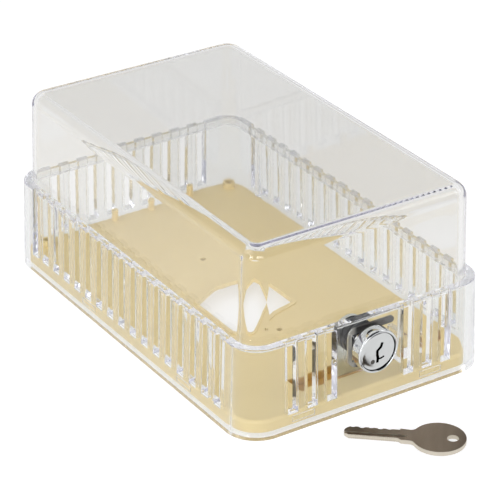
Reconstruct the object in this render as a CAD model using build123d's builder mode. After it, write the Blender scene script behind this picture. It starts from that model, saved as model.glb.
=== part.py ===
from build123d import *
import os
from math import cos, hypot, radians, sin, sqrt, tan

# Clear thermostat guard: a moulded wall plate, a clear vented ring base that stands round it,
# a clear cover that drops into the ring, and a keyed cam lock in the ring's front wall.
# The guard lies on its back.  Origin: centre of the wall plate, on the wall side.
# X runs across, +Y away from the lock, +Z out of the wall.  Sizes are in millimetres.

cut_over = 1.0                # cutting sketches run this far past the face they open

# ---- ring base -----------------------------------------------------------------------------
ring_width = 129.0            # outside, at the wall side
ring_length = 206.5
ring_height = 43.6
ring_corner_radius = 15.5
ring_draft = 1.97             # lean of the outside walls, degrees
ring_inner_draft = 1.0        # lean of the inside walls, degrees
ring_rim_wall = 3.9           # wall thickness at the rim
ring_rim_round = 0.8
ring_foot_round = 0.4
vent_width = 5.0
vent_pitch = 10.05
vent_sill_height = 9.2        # lowest point of each vent slot
vent_bridge_height = 3.0      # inner half of the wall that is left over each slot
vent_notch_depth = 2.0        # outer half of the wall, open to the rim
vent_end_margin = 1.0         # plain wall between the last slot and the corner round
seat_rib_width = 3.0
seat_overlap = 1.0            # how far a seat rib reaches under the cover's skirt

# ---- cover ---------------------------------------------------------------------------------
cover_gap = 0.35              # between the skirt and the ring, all round
cover_corner_radius = 10.0
cover_draft = 1.55
cover_top_height = 88.2
cover_wall = 3.0
cover_top_round = 6.5
skirt_depth = 3.0             # how far the cover reaches down inside the ring

# ---- wall plate ----------------------------------------------------------------------------
plate_gap = 0.3               # between the plate's edge and the ring
plate_height = 7.7
plate_rest = 2.2              # the plate's edge stops this far from the wall
plate_skin = 1.6
plate_edge_wall = 3.0
plate_edge_round = 1.5
plate_rib_width = 1.8
plate_rib_clearance = 2.6     # the ribs behind the skin stop short of the wall too
tab_width = 11.0
tab_reach = 0.9               # edge tabs stand this far out of the plate's edge
tab_clearance = 0.2
tab_low = 3.8                 # underside of the tabs; the ring's foot passes under them
front_tab_spacing = 67.0
side_tab_places = (-51.0, 32.0)
wire_outline = [(-21.2, -30.5), (-21.2, 1.5), (-6.2, 10.0), (9.8, 10.0),
                (15.4, 3.5), (15.4, -19.5), (1.8, -22.5), (-16.2, -32.5)]
wire_lip_width = 2.2
wire_lip_rise = 0.5
wire_corner_radius = 4.0
screw_hole_radius = 2.1
screw_boss_radius = 3.0
screw_boss_rise = 3.0
screw_from_side = 7.56        # from the plate's long edges to the wall screws
screw_from_end = 6.51         # from its far edge
stud_radius = 1.6
stud_rise = 5.6
stud_spacing = 20.5
stud_count = 4
stud_edge_distance = 3.6
box_screw_radius = 1.4        # two small screws, one each side of the wire opening
box_screw_place = (4.2, 37.0)
box_post_radius = 3.2         # posts behind the skin that stand on the wall at these screws
cam_pocket_width = 52.0
cam_pocket_length = 10.0
cam_pocket_floor = 3.8
cam_pocket_margin = 1.0       # in front of the cam

# ---- lock ----------------------------------------------------------------------------------
lock_height = 29.0            # axis of the lock above the wall
head_radius = 10.2
head_length = 5.35
head_edge_round = 1.1
head_seat_rise = 0.15         # the moulded seat stands this far out of the leaning wall at least
barrel_radius = 7.95
barrel_across_flats = 14.0
barrel_length = 16.0          # from the back of the head to the rear face
barrel_hole_clearance = 0.1
barrel_ring_count = 3         # shallow rings turned in the barrel behind the clip
barrel_ring_pitch = 2.6
barrel_ring_width = 1.1
barrel_ring_depth = 0.45
face_recess = 0.2             # the plug's face lies this far inside the head
face_radius = 8.9
face_thickness = 1.25
face_groove = 0.2             # the fine gap round the plug's face
face_edge_break = 0.25
core_radius = 5.5
running_clearance = 0.05
tail_square = 7.0
keyway_slot = 1.3
keyway_line = [(1.9, 4.1), (1.25, 2.1), (-0.6, 0.6), (-0.6, -1.4), (-0.25, -2.7), (-0.5, -4.9)]
keyway_branch_slot = 0.86
keyway_branch = [(-0.4, -3.8), (1.4, -3.7), (3.0, -3.15)]
broach_depth = 0.5            # grooves that the wafers drop into
broach_end_wall = 1.0         # solid rear end of the barrel behind the grooves
pin_radius = 1.1
pin_length = 1.0
pin_edge_round = 0.27
pin_place = (-2.9, -4.2)
clip_thickness = 1.1
clip_leg_width = 3.0
clip_bite = 0.35              # depth of the clip in the barrel's flats
clip_reach = 13.8             # from the lock's axis to the ends of the legs
clip_back_wall = 1.8
clip_back_gap = 0.3           # between the clip's closed end and the barrel
clip_back_rounding = 0.25     # corner round of the closed end, as a share of the clip's height
clip_end_rounding = 0.45      # corner round of the legs' ends, as a share of the leg's width
boss_inner_radius = 12.5
boss_inner_rise = 0.3
wafer_count = 5
wafer_pitch = 2.6
wafer_thickness = 0.9
wafer_clearance = 0.05
wafer_travel = 0.45
wafer_first = 2.4             # from the back of the plug's face to the first wafer
wafer_left = 3.6
wafer_right = 2.3
wafer_window_width = 2.9
wafer_window_height = 7.2
wafer_hook_reach = 3.85
wafer_hook_height = 1.0
wafer_hook_low = 0.6
wafer_hook_clearance = 0.1
spring_wire = 0.26
spring_outer_radius = 0.7
spring_turns = 5
spring_centre = 3.2
spring_length = 3.1
spring_pocket_radius = 0.85
stop_gap = 0.1
stop_thickness = 1.0
stop_lug_inner_radius = 6.5
stop_washer_radius = 6.2
stop_ear_radius = 7.8
stop_ear_angle = 86.0
stop_ear_middle = 225.0
stop_lug_angle = 178.0
stop_lug_share = 0.8          # part of the washer's thickness that the lug stands beside
cam_width = 15.0
cam_reach = 21.0              # from the lock's axis to the end of the cam
cam_thickness = 2.0
cam_corner_radius = 2.0
cam_square_clearance = 0.04
lock_washer_radius = 4.6
lock_washer_thickness = 0.8
lock_washer_split = 0.8
lock_washer_clearance = 0.15
screw_radius = 2.0
screw_hole_depth = 7.0
screw_end_gap = 0.5           # between the screw's end and the bottom of its hole
screw_head_radius = 4.0
screw_head_height = 2.4
screw_head_round = 1.08
screw_cross_width = 1.1
screw_cross_length = 4.6
screw_cross_depth = 1.3
catch_clearance = 0.8         # between the swing of the cam and the cover's catch
catch_near_edge = 18.0        # from the lock's axis
catch_far_edge = 24.5
catch_top = 24.0
catch_floor = 2.3             # thickness of the catch at its thin end
catch_depth_past_cam = 1.0
tongue_root = 1.0             # how far the tongue runs up into the skirt

# ---- key -----------------------------------------------------------------------------------
key_tip = (-23.1, -116.1)     # where the key lies on the table, in front of the lock
key_angle = -41.0
key_thickness = 2.0
key_length = 52.0
bow_radius = 11.6
bow_hole_radius = 2.5
bow_hole_from_centre = 5.8
blade_length = 23.5
blade_far_edge = 3.7          # the cut edge, from the key's centre line
blade_near_edge = 3.1
tip_bevel = 2.2
tip_half_width = 0.8
stem_half_width = 4.7
stem_waist = 4.3              # half width where the stem meets the bow
stem_flare = 2.6              # inside round between the stem and the bow
near_shoulder = 1.0           # the near shoulder slopes back over this length
cut_depths = (0.5, 0.8, 0.4, 0.7, 0.5)
cut_pitch = 3.9
cut_first = 3.4
cut_flat = 1.1
milled_groove_width = 1.3
milled_groove_depth = 0.55
milled_groove_top = -1.2      # centre of the groove in the upper face, from the centre line
milled_groove_under = 0.0
milled_groove_end = 27.0
near_cut_depth = 0.35
near_cut_pitch = 1.6

# ---- worked out from the sizes above ---------------------------------------------------------
outer_lean = ring_height * tan(radians(ring_draft))
inner_lean = ring_height * tan(radians(ring_inner_draft))
ring_foot_wall = outer_lean + ring_rim_wall - inner_lean
inner_width = ring_width - 2 * ring_foot_wall
inner_length = ring_length - 2 * ring_foot_wall
inner_corner_radius = ring_corner_radius - ring_foot_wall
rim_width = ring_width - 2 * outer_lean
rim_length = ring_length - 2 * outer_lean
cover_width = rim_width - 2 * (ring_rim_wall + cover_gap)
cover_length = rim_length - 2 * (ring_rim_wall + cover_gap)
seat_height = ring_height - skirt_depth
plate_width = inner_width - 2 * plate_gap
plate_length = inner_length - 2 * plate_gap
plate_corner_radius = inner_corner_radius - plate_gap
screw_spacing_x = plate_width - 2 * screw_from_side
screw_y = plate_length / 2 - screw_from_end

seat_y = -ring_length / 2 + (lock_height - head_radius) * tan(radians(ring_draft)) - head_seat_rise
head_front_y = seat_y - head_length
face_front_y = head_front_y + face_recess
face_back_y = face_front_y + face_thickness
cup_floor_y = face_back_y + running_clearance
barrel_rear_y = seat_y + barrel_length
wall_inside_y = -cover_length / 2 - cover_gap - inner_lean / ring_height * (ring_height - lock_height)
clip_y = wall_inside_y + boss_inner_rise
stop_y = barrel_rear_y + stop_gap
cam_y = stop_y + stop_thickness
washer_y = cam_y + cam_thickness
screw_head_y = washer_y + lock_washer_thickness
tail_end_y = washer_y - stop_gap
bore_radius = core_radius + running_clearance
cam_corner = (cam_reach - cam_corner_radius, cam_width / 2 - cam_corner_radius)
cam_sweep_radius = hypot(*cam_corner) + cam_corner_radius


def lock_plane(y, x=0.0, z=0.0):
    """A plane square to the lock's axis, seen from the front, x and z from that axis."""
    return Plane(origin=(x, y, lock_height + z), x_dir=(1, 0, 0), z_dir=(0, -1, 0))


def vent_places(half_size):
    """Centres of the vent slots along a wall, in even steps from its middle."""
    room = half_size - ring_corner_radius - vent_width / 2 - vent_end_margin
    steps = int(room / vent_pitch)
    return [step * vent_pitch for step in range(-steps, steps + 1)]


def wedge(radius, start, size):
    """Corners of a wedge from the lock's axis, wide enough to cut a round of that radius."""
    turns = [radians(start + size * step / 4) for step in range(5)]
    return [(0, 0)] + [(2 * radius * cos(turn), 2 * radius * sin(turn)) for turn in turns]


def double_flat(radius, across):
    """A round with two flats, above and below, in the open sketch."""
    Circle(radius)
    Rectangle(2 * radius + cut_over, across, mode=Mode.INTERSECT)


def save(piece, name):
    """Name the piece and write it."""
    piece.part.label = name
    export_step(piece.part, f"parts/{name}.step")


os.makedirs("parts", exist_ok=True)

# ---- wall plate: opaque moulding with a turned edge, ribs behind, bosses and studs ----------
side_half = plate_width / 2
end_half = plate_length / 2
pocket_y = cam_y - cam_pocket_margin + cam_pocket_length / 2
tab_top = plate_height - plate_edge_round
stud_row = [(step - (stud_count - 1) / 2) * stud_spacing for step in range(stud_count)]
stud_y = end_half - stud_edge_distance
wall_screw_places = [(screw_spacing_x / 2, screw_y), (-screw_spacing_x / 2, screw_y)]
box_screw_places = [box_screw_place, (-box_screw_place[0], -box_screw_place[1])]

with BuildPart() as wall_plate:
    with BuildSketch(Plane.XY.offset(plate_rest)):
        RectangleRounded(plate_width, plate_length, plate_corner_radius)
    extrude(amount=plate_height - plate_rest)
    fillet(wall_plate.edges().group_by(Axis.Z)[-1], plate_edge_round)
    # hollow back
    with BuildSketch():
        RectangleRounded(plate_width - 2 * plate_edge_wall, plate_length - 2 * plate_edge_wall,
                         plate_corner_radius - plate_edge_wall)
    extrude(amount=plate_height - plate_skin, mode=Mode.SUBTRACT)
    # cross ribs behind the skin
    with BuildSketch(Plane.XY.offset(plate_rib_clearance)):
        with Locations((0, screw_y * 2 / 3), (0, -screw_y * 2 / 3)):
            Rectangle(plate_width - plate_edge_wall, plate_rib_width)
        with Locations((screw_spacing_x / 3, 0), (-screw_spacing_x / 3, 0)):
            Rectangle(plate_rib_width, plate_length - plate_edge_wall)
    extrude(amount=plate_height - plate_skin - plate_rib_clearance)
    # lip round the wire opening, then the opening itself
    with BuildSketch(Plane.XY.offset(plate_height - plate_skin)):
        with BuildLine():
            Polyline(*wire_outline, close=True)
        make_face()
        fillet(vertices(), wire_corner_radius)
        offset(amount=wire_lip_width, kind=Kind.ARC)
    extrude(amount=plate_skin + wire_lip_rise)
    with BuildSketch():
        with BuildLine():
            Polyline(*wire_outline, close=True)
        make_face()
        fillet(vertices(), wire_corner_radius)
    extrude(amount=plate_height + wire_lip_rise, mode=Mode.SUBTRACT)
    # pocket that the end of the cam swings in
    with BuildSketch(Plane.XY.offset(plate_rest)):
        with Locations((0, pocket_y)):
            Rectangle(cam_pocket_width + 2 * plate_rib_width, cam_pocket_length + 2 * plate_rib_width)
    extrude(amount=plate_height - plate_rest)
    with BuildSketch(Plane.XY.offset(cam_pocket_floor)):
        with Locations((0, pocket_y)):
            Rectangle(cam_pocket_width, cam_pocket_length)
    extrude(amount=plate_height, mode=Mode.SUBTRACT)
    # studs along the far edge, standing on the wall below the plate
    with BuildSketch():
        with Locations(*[(x, stud_y) for x in stud_row]):
            Circle(stud_radius)
    extrude(amount=plate_height + stud_rise)
    # bosses and holes for the wall screws in the far corners, posts and holes for the box screws
    with BuildSketch():
        with Locations(*wall_screw_places):
            Circle(screw_boss_radius)
    extrude(amount=plate_height + screw_boss_rise)
    with BuildSketch():
        with Locations(*box_screw_places):
            Circle(box_post_radius)
    extrude(amount=plate_height)
    with BuildSketch():
        with Locations(*wall_screw_places):
            Circle(screw_hole_radius)
        with Locations(*box_screw_places):
            Circle(box_screw_radius)
    extrude(amount=plate_height + screw_boss_rise, mode=Mode.SUBTRACT)
    # edge tabs that click into the ring
    tab_depth = 2 * tab_reach
    with BuildSketch(Plane.XY.offset(tab_low)):
        for sign in (-1, 1):
            with Locations(*[(x, sign * end_half) for x in (-front_tab_spacing / 2, front_tab_spacing / 2)]):
                Rectangle(tab_width, tab_depth)
            with Locations(*[(sign * side_half, y) for y in side_tab_places]):
                Rectangle(tab_depth, tab_width)
    extrude(amount=tab_top - tab_low)
save(wall_plate, "wall_plate")

# ---- ring base: clear moulding, leaning walls, vent slots, seat ribs and the lock's boss -----
side_vents = vent_places(ring_length / 2)
end_vents = vent_places(ring_width / 2)
lock_keep_out = clip_reach + vent_width / 2
front_vents = [x for x in end_vents if abs(x) > lock_keep_out]
slot_height = ring_height - vent_bridge_height - vent_sill_height
slot_middle = vent_sill_height + slot_height / 2
notch_height = ring_height - vent_sill_height + cut_over
notch_middle = vent_sill_height + notch_height / 2
side_notch_x = rim_width / 2 - vent_notch_depth
end_notch_y = rim_length / 2 - vent_notch_depth
rib_low = plate_height + plate_gap
rib_along_side = side_vents[-1] - vent_pitch / 2
rib_along_end = end_vents[-1] - vent_pitch / 2

with BuildPart() as ring_base:
    with BuildSketch():
        RectangleRounded(ring_width, ring_length, ring_corner_radius)
    extrude(amount=ring_height, taper=ring_draft)
    fillet(ring_base.edges().group_by(Axis.Z)[-1], ring_rim_round)
    fillet(ring_base.edges().group_by(Axis.Z)[0], ring_foot_round)
    # flat seat for the lock's head
    with BuildSketch(lock_plane(seat_y)):
        Circle(head_radius)
    extrude(amount=-ring_rim_wall)
    # inside, open at both ends
    with BuildSketch():
        RectangleRounded(inner_width, inner_length, inner_corner_radius)
    extrude(amount=ring_height, taper=ring_inner_draft, mode=Mode.SUBTRACT)
    # flat seat for the clip, inside the front wall
    with BuildSketch(lock_plane(clip_y)):
        Circle(boss_inner_radius)
    extrude(amount=ring_rim_wall)
    # hole for the lock's barrel
    with BuildSketch(lock_plane(seat_y - cut_over)):
        double_flat(barrel_radius + barrel_hole_clearance, barrel_across_flats + 2 * barrel_hole_clearance)
    extrude(amount=-(clip_y - seat_y + 2 * cut_over), mode=Mode.SUBTRACT)
    # ribs that the cover's skirt stands on, between the last two slots of the long and far walls
    rib_depth = ring_foot_wall / 2 + seat_overlap + cover_gap
    with BuildSketch(Plane.XY.offset(rib_low)):
        rib_x = cover_width / 2 - seat_overlap + rib_depth / 2
        rib_y = cover_length / 2 - seat_overlap + rib_depth / 2
        with Locations(*[(x, y) for x in (-rib_x, rib_x) for y in (-rib_along_side, rib_along_side)]):
            Rectangle(rib_depth, seat_rib_width)
        with Locations((rib_along_end, rib_y), (-rib_along_end, rib_y)):
            Rectangle(seat_rib_width, rib_depth)
    extrude(amount=seat_height - rib_low)
    # vent slots in the long walls, both walls in one cut
    with BuildSketch(Plane.YZ.offset(-ring_width / 2)):
        with Locations(*[(y, slot_middle) for y in side_vents]):
            Rectangle(vent_width, slot_height)
    extrude(amount=ring_width, mode=Mode.SUBTRACT)
    for sign in (-1, 1):
        with BuildSketch(Plane.YZ.offset(sign * side_notch_x)):
            with Locations(*[(y, notch_middle) for y in side_vents]):
                Rectangle(vent_width, notch_height)
        extrude(amount=sign * ring_foot_wall, mode=Mode.SUBTRACT)
    # vent slots in the end walls, fewer at the front where the lock is
    for sign, places in ((1, end_vents), (-1, front_vents)):
        with BuildSketch(Plane.XZ.offset(-sign * (end_notch_y - ring_foot_wall))):
            with Locations(*[(x, slot_middle) for x in places]):
                Rectangle(vent_width, slot_height)
        extrude(amount=-sign * 3 * ring_foot_wall, mode=Mode.SUBTRACT)
        with BuildSketch(Plane.XZ.offset(-sign * end_notch_y)):
            with Locations(*[(x, notch_middle) for x in places]):
                Rectangle(vent_width, notch_height)
        extrude(amount=-sign * ring_foot_wall, mode=Mode.SUBTRACT)
    # shallow recesses for the plate's edge tabs, closed below by the ring's foot
    recess_depth = 2 * (tab_reach + tab_clearance)
    recess_width = tab_width + 2 * tab_clearance
    with BuildSketch(Plane.XY.offset(tab_low - tab_clearance)):
        for sign in (-1, 1):
            with Locations(*[(x, sign * end_half) for x in (-front_tab_spacing / 2, front_tab_spacing / 2)]):
                Rectangle(recess_width, recess_depth)
            with Locations(*[(sign * side_half, y) for y in side_tab_places]):
                Rectangle(recess_depth, recess_width)
    extrude(amount=tab_top - tab_low + 2 * tab_clearance, mode=Mode.SUBTRACT)
save(ring_base, "ring_base")

# ---- cover: clear moulding with a leaning wall, a rounded top and a skirt in the ring --------
cover_rise = cover_top_height - ring_height
catch_radius = cam_sweep_radius + catch_clearance
catch_low = lock_height - sqrt(catch_radius ** 2 - catch_near_edge ** 2) - catch_floor
catch_middle = (catch_near_edge + catch_far_edge) / 2
catch_width = catch_far_edge - catch_near_edge
tongue_top = seat_height + tongue_root

with BuildPart() as cover_inside:
    with BuildSketch(Plane.XY.offset(ring_height)):
        RectangleRounded(cover_width - 2 * cover_wall, cover_length - 2 * cover_wall,
                         cover_corner_radius - cover_wall)
    extrude(amount=cover_rise - cover_wall, taper=cover_draft)
    fillet(cover_inside.edges().group_by(Axis.Z)[-1], cover_top_round - cover_wall)
    with BuildSketch(Plane.XY.offset(seat_height)):
        RectangleRounded(cover_width - 2 * cover_wall, cover_length - 2 * cover_wall,
                         cover_corner_radius - cover_wall)
    extrude(amount=skirt_depth)

with BuildPart() as cover:
    with BuildSketch(Plane.XY.offset(ring_height)):
        RectangleRounded(cover_width, cover_length, cover_corner_radius)
    extrude(amount=cover_rise, taper=cover_draft)
    fillet(cover.edges().group_by(Axis.Z)[-1], cover_top_round)
    with BuildSketch(Plane.XY.offset(seat_height)):
        RectangleRounded(cover_width, cover_length, cover_corner_radius)
    extrude(amount=skirt_depth)
    # hollow inside, its top round following the outer one
    add(cover_inside.part, mode=Mode.SUBTRACT)
    # tongue and catch beside the lock: the cam swings over the catch when it locks
    with BuildSketch(Plane.XZ.offset(cover_length / 2 - cover_wall)):
        with Locations((catch_middle, (catch_low + tongue_top) / 2)):
            Rectangle(catch_width, tongue_top - catch_low)
    extrude(amount=cover_wall)
    with BuildSketch(Plane.XZ.offset(-(washer_y + catch_depth_past_cam))):
        with Locations((catch_middle, (catch_low + catch_top) / 2)):
            Rectangle(catch_width, catch_top - catch_low)
        with Locations((0, lock_height)):
            Circle(catch_radius, mode=Mode.SUBTRACT)
    extrude(amount=cover_length / 2 + washer_y + catch_depth_past_cam - cover_wall)
save(cover, "cover")

# ---- lock housing: die-cast head and barrel, chrome plated ----------------------------------
lug_start = 90.0 - stop_lug_angle / 2
first_ring_y = clip_y + clip_thickness / 2 + barrel_ring_pitch
groove_y = [first_ring_y + step * barrel_ring_pitch for step in range(barrel_ring_count)]
broach_radius = core_radius + broach_depth + 2 * running_clearance
broach_width = wafer_left + wafer_right + 4 * running_clearance
broach_middle = (wafer_right - wafer_left) / 2

with BuildPart() as lock_housing:
    with BuildSketch(lock_plane(head_front_y)):
        Circle(head_radius)
    extrude(amount=-head_length)
    fillet(lock_housing.edges().group_by(Axis.Y)[0], head_edge_round)
    with BuildSketch(lock_plane(seat_y)):
        Circle(barrel_radius)
    extrude(amount=-barrel_length)
    # stop lug on the rear face
    with BuildSketch(lock_plane(barrel_rear_y)):
        Circle(barrel_radius)
        Polygon(*wedge(barrel_radius, lug_start, stop_lug_angle), align=None, mode=Mode.INTERSECT)
        Circle(stop_lug_inner_radius, mode=Mode.SUBTRACT)
    extrude(amount=-(stop_gap + stop_thickness * stop_lug_share))
    # shallow rings turned in the barrel
    for y in groove_y:
        with BuildSketch(lock_plane(y - barrel_ring_width / 2)):
            Circle(barrel_radius + cut_over)
            Circle(barrel_radius - barrel_ring_depth, mode=Mode.SUBTRACT)
        extrude(amount=-barrel_ring_width, mode=Mode.SUBTRACT)
    # two flats, and the slots in them that the clip slides into
    for sign in (-1, 1):
        with BuildSketch(lock_plane(seat_y)):
            with Locations((0, sign * (barrel_across_flats / 2 + barrel_radius / 2))):
                Rectangle(2 * (barrel_radius + cut_over), barrel_radius)
        extrude(amount=-(barrel_length + 2 * stop_thickness), mode=Mode.SUBTRACT)
        with BuildSketch(lock_plane(clip_y)):
            with Locations((0, sign * (barrel_across_flats / 2 - clip_bite + barrel_radius / 2))):
                Rectangle(2 * (barrel_radius + cut_over), barrel_radius)
        extrude(amount=-clip_thickness, mode=Mode.SUBTRACT)
    # cup for the plug's face, bore, and four broached grooves for the wafers
    with BuildSketch(lock_plane(head_front_y)):
        Circle(face_radius + face_groove)
    extrude(amount=-(cup_floor_y - head_front_y), mode=Mode.SUBTRACT)
    with BuildSketch(lock_plane(head_front_y)):
        Circle(bore_radius)
    extrude(amount=-(barrel_rear_y - head_front_y), mode=Mode.SUBTRACT)
    with BuildSketch(lock_plane(cup_floor_y)):
        with Locations((broach_middle, 0), (-broach_middle, 0)):
            Rectangle(broach_width, 2 * broach_radius)
        with Locations((0, broach_middle), (0, -broach_middle)):
            Rectangle(2 * broach_radius, broach_width)
        Circle(broach_radius, mode=Mode.INTERSECT)
    extrude(amount=-(barrel_rear_y - cup_floor_y - broach_end_wall), mode=Mode.SUBTRACT)
save(lock_housing, "lock_housing")

# ---- plug: the turning core, with its wide face, keyway, wafer slots and square tail ---------
wafer_y = [face_back_y + wafer_first + step * wafer_pitch for step in range(wafer_count)]
spring_low = wafer_hook_low - spring_length
wafer_hook_notch = spring_centre - wafer_right
wafer_hook_room = wafer_hook_height + wafer_travel + 3 * wafer_hook_clearance
hook_room_middle = wafer_hook_low - wafer_hook_clearance + wafer_hook_room / 2

with BuildPart() as lock_plug:
    with BuildSketch(lock_plane(face_front_y)):
        Circle(face_radius)
    extrude(amount=-face_thickness)
    chamfer(lock_plug.edges().group_by(Axis.Y)[0], face_edge_break)
    with BuildSketch(lock_plane(face_back_y)):
        Circle(core_radius)
    extrude(amount=-(barrel_rear_y - face_back_y))
    with BuildSketch(lock_plane(barrel_rear_y)):
        Rectangle(tail_square, tail_square)
    extrude(amount=-(tail_end_y - barrel_rear_y))
    # keyway: a bent slot with one side branch, closed at the rear of the barrel
    with BuildSketch(lock_plane(face_front_y - cut_over)):
        with BuildLine():
            Polyline(*keyway_line)
        trace(line_width=keyway_slot)
        with BuildLine():
            Polyline(*keyway_branch)
        trace(line_width=keyway_branch_slot)
    extrude(amount=-(wafer_y[-1] + wafer_pitch - face_front_y + cut_over), mode=Mode.SUBTRACT)
    # slots for the wafers and round pockets for their springs
    for y in wafer_y:
        with BuildSketch(lock_plane(y - wafer_thickness / 2 - wafer_clearance)):
            with Locations(((wafer_right - wafer_left) / 2, 0)):
                Rectangle(wafer_left + wafer_right + 2 * wafer_clearance, 2 * (core_radius + cut_over))
            with Locations((wafer_right - wafer_hook_clearance + wafer_hook_notch / 2, hook_room_middle)):
                Rectangle(wafer_hook_notch, wafer_hook_room)
        extrude(amount=-(wafer_thickness + 2 * wafer_clearance), mode=Mode.SUBTRACT)
        with BuildSketch(Plane.XY.offset(lock_height + spring_low)):
            with Locations((spring_centre, y)):
                Circle(spring_pocket_radius)
        extrude(amount=spring_length + wafer_hook_room - wafer_hook_clearance, mode=Mode.SUBTRACT)
    # hole for the small pin in the face, and the tapped hole in the tail
    with BuildSketch(lock_plane(face_front_y)):
        with Locations(pin_place):
            Circle(pin_radius)
    extrude(amount=-pin_length, mode=Mode.SUBTRACT)
    with BuildSketch(lock_plane(tail_end_y)):
        Circle(screw_radius)
    extrude(amount=screw_hole_depth, mode=Mode.SUBTRACT)
save(lock_plug, "lock_plug")

# ---- face pin: small steel pin staked flush in the plug's face -------------------------------
with BuildPart() as face_pin:
    with BuildSketch(lock_plane(face_front_y)):
        with Locations(pin_place):
            Circle(pin_radius)
    extrude(amount=-pin_length)
    fillet(face_pin.edges().group_by(Axis.Y)[0], pin_edge_round)
save(face_pin, "face_pin")

# ---- wafers and their springs: one sprung brass wafer in each slot of the plug ---------------
for number, y in enumerate(wafer_y, start=1):
    with BuildPart() as wafer:
        with BuildSketch(lock_plane(y - wafer_thickness / 2)):
            Circle(core_radius - 2 * wafer_clearance)
            with Locations(((wafer_right - wafer_left) / 2, 0)):
                Rectangle(wafer_left + wafer_right, 2 * core_radius, mode=Mode.INTERSECT)
            with Locations((wafer_hook_reach / 2, wafer_hook_low + wafer_hook_height / 2)):
                Rectangle(wafer_hook_reach, wafer_hook_height)
            Rectangle(wafer_window_width, wafer_window_height, mode=Mode.SUBTRACT)
        extrude(amount=-wafer_thickness)
    save(wafer, f"wafer_{number}")

    with BuildPart() as wafer_spring:
        coil_radius = spring_outer_radius - spring_wire / 2
        coil_height = spring_length - spring_wire
        with BuildLine(Plane(origin=(spring_centre, y, lock_height + spring_low + spring_wire / 2))):
            coil = Helix(pitch=coil_height / spring_turns, height=coil_height, radius=coil_radius)
        with BuildSketch(Plane(origin=coil @ 0, z_dir=coil % 0)):
            Circle(spring_wire / 2)
        sweep()
    save(wafer_spring, f"wafer_spring_{number}")

# ---- housing clip: spring steel fork that holds the barrel in the ring's wall ----------------
clip_gap = barrel_across_flats - 2 * clip_bite
clip_height = clip_gap + 2 * clip_leg_width
clip_back_x = -(barrel_radius + clip_back_gap)

with BuildPart() as housing_clip:
    with BuildSketch(lock_plane(clip_y)):
        with BuildLine():
            Polyline((clip_reach, clip_height / 2), (clip_back_x - clip_back_wall, clip_height / 2),
                     (clip_back_x - clip_back_wall, -clip_height / 2), (clip_reach, -clip_height / 2),
                     (clip_reach, -clip_gap / 2), (clip_back_x, -clip_gap / 2),
                     (clip_back_x, clip_gap / 2), (clip_reach, clip_gap / 2), close=True)
        make_face()
        back_corners = vertices().group_by(Axis.X)[0]
        fillet(back_corners, clip_height * clip_back_rounding)
        leg_corners = vertices().group_by(Axis.X)[-1]
        fillet(leg_corners, clip_leg_width * clip_end_rounding)
    extrude(amount=-clip_thickness)
save(housing_clip, "housing_clip")

# ---- stop washer: its ear meets the housing's lug at each end of the quarter turn ------------
with BuildPart() as stop_washer:
    with BuildSketch(lock_plane(stop_y)):
        Circle(stop_ear_radius)
        Polygon(*wedge(stop_ear_radius, stop_ear_middle - stop_ear_angle / 2, stop_ear_angle), align=None,
                mode=Mode.INTERSECT)
        Circle(stop_washer_radius)
        Rectangle(tail_square + 2 * cam_square_clearance, tail_square + 2 * cam_square_clearance,
                  mode=Mode.SUBTRACT)
    extrude(amount=-stop_thickness)
save(stop_washer, "stop_washer")

# ---- cam: zinc plated steel arm on the plug's square tail ------------------------------------
with BuildPart() as cam:
    with BuildSketch(lock_plane(cam_y)):
        Circle(cam_width / 2)
        with Locations((0, -cam_reach / 2)):
            Rectangle(cam_width, cam_reach)
        fillet(vertices().group_by(Axis.Z)[0], cam_corner_radius)
        Rectangle(tail_square + 2 * cam_square_clearance, tail_square + 2 * cam_square_clearance,
                  mode=Mode.SUBTRACT)
    extrude(amount=-cam_thickness)
save(cam, "cam")

# ---- lock washer: split spring washer under the screw's head --------------------------------
with BuildPart() as lock_washer:
    with BuildSketch(lock_plane(washer_y)):
        Circle(lock_washer_radius)
        Circle(screw_radius + lock_washer_clearance, mode=Mode.SUBTRACT)
        with Locations((lock_washer_radius / 2, 0)):
            Rectangle(lock_washer_radius + cut_over, lock_washer_split, mode=Mode.SUBTRACT)
    extrude(amount=-lock_washer_thickness)
save(lock_washer, "lock_washer")

# ---- cam screw: pan head with a cross recess ------------------------------------------------
with BuildPart() as cam_screw:
    with BuildSketch(lock_plane(screw_head_y)):
        Circle(screw_radius)
    extrude(amount=screw_head_y - tail_end_y + screw_hole_depth - screw_end_gap)
    with BuildSketch(lock_plane(screw_head_y)):
        Circle(screw_head_radius)
    extrude(amount=-screw_head_height)
    fillet(cam_screw.edges().group_by(Axis.Y)[-1], screw_head_round)
    with BuildSketch(lock_plane(screw_head_y + screw_head_height)):
        Rectangle(screw_cross_length, screw_cross_width)
        Rectangle(screw_cross_width, screw_cross_length)
    extrude(amount=screw_cross_depth, mode=Mode.SUBTRACT)
save(cam_screw, "cam_screw")

# ---- key: flat nickel silver blank, round bow, cuts along one edge, a milled groove each side -
bow_centre = key_length - bow_radius
key_plane = Plane(origin=(key_tip[0], key_tip[1], 0),
                  x_dir=(cos(radians(key_angle)), sin(radians(key_angle)), 0), z_dir=(0, 0, 1))
cut_edge = []
for number, depth in enumerate(cut_depths):
    middle = cut_first + number * cut_pitch
    start, end = middle - cut_flat / 2, middle + cut_flat / 2
    cut_edge += [(start - depth, blade_far_edge), (start, blade_far_edge - depth),
                 (end, blade_far_edge - depth), (end + depth, blade_far_edge)]
near_edge = []
near_cut_count = int((blade_length - 2 * tip_bevel) / near_cut_pitch)
for number in range(near_cut_count):
    start = blade_length - tip_bevel / 2 - number * near_cut_pitch
    near_edge += [(start, -blade_near_edge), (start - near_cut_pitch / 2, near_cut_depth - blade_near_edge)]

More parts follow.
